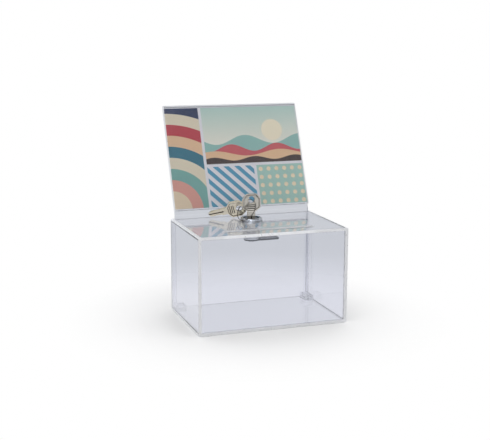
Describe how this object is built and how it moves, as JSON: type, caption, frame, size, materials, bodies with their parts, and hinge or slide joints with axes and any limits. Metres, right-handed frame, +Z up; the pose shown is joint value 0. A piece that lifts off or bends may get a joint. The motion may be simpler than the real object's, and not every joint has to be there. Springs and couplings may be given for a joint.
{
  "type": "donation box",
  "caption": "Clear tabletop donation box with a lid slot, a lift-out rear panel that carries a leaning card header, and a cam lock with its keys on a ring.",
  "frame": {"origin": "middle of the box's floor, on the surface that it stands on", "axes": "+Z up, -Y towards the front panel, +X to the right seen from the front; the header leans towards +Y"},
  "size_m": [0.156, 0.1432, 0.2115],
  "materials": {
    "clear_acrylic": "polished clear sheet",
    "printed_card": "satin printed card",
    "chrome_plate": "polished chrome plate",
    "zinc_steel": "bright zinc plate",
    "brass": "stamped",
    "spring_steel": "nickel plated wire",
    "nickel_plate": "nickel plated brass, lightly worn"
  },
  "bodies": {
    "box": {"sleeve": "clear_acrylic", "front_panel": "clear_acrylic", "rear_guide_right": "clear_acrylic", "rear_guide_left": "clear_acrylic", "front_guide_right": "clear_acrylic", "front_guide_left": "clear_acrylic", "seat_block_right": "clear_acrylic", "seat_block_left": "clear_acrylic", "lock_housing": "chrome_plate", "lock_washer": "zinc_steel", "lock_nut": "zinc_steel"},
    "rear_panel": {"rear_panel": "clear_acrylic", "card_ledge": "clear_acrylic"},
    "card": {"info_card": "printed_card"},
    "lock_plug": {"lock_plug": "chrome_plate", "wafer_tumblers": "brass", "wafer_springs": "spring_steel", "turn_stop": "zinc_steel", "cam": "zinc_steel", "cam_washer": "zinc_steel", "cam_screw": "zinc_steel"},
    "key": {"key": "nickel_plate"},
    "key_ring": {"key_ring": "spring_steel"},
    "spare_key": {"spare_key": "nickel_plate"}
  },
  "joints": [
    {"name": "rear_panel_lift", "type": "slide", "parent": "box", "child": "rear_panel", "axis": [0, 0, 1], "range_m": [0, 0.1]},
    {"name": "card_slide", "type": "slide", "parent": "rear_panel", "child": "card", "axis": [1, 0, 0], "range_m": [0, 0.15]},
    {"name": "lock_turn", "type": "hinge", "parent": "box", "child": "lock_plug", "pos_m": [0, 0.02, 0.1004], "axis": [0, 0, 1], "range_deg": [0, 90]},
    {"name": "key_pull", "type": "slide", "parent": "lock_plug", "child": "key", "axis": [0, 0, 1], "range_m": [0, 0.02]},
    {"name": "ring_swing", "type": "hinge", "parent": "key", "child": "key_ring", "pos_m": [0, 0.02, 0.119], "axis": [-0.342, 0.9397, 0], "range_deg": [0, 75]},
    {"name": "spare_key_swing", "type": "hinge", "parent": "key_ring", "child": "spare_key", "pos_m": [-0.01027, 0.02903, 0.10903], "axis": [0.5183, 0.1829, 0.8354], "range_deg": [0, 28]}
  ]
}
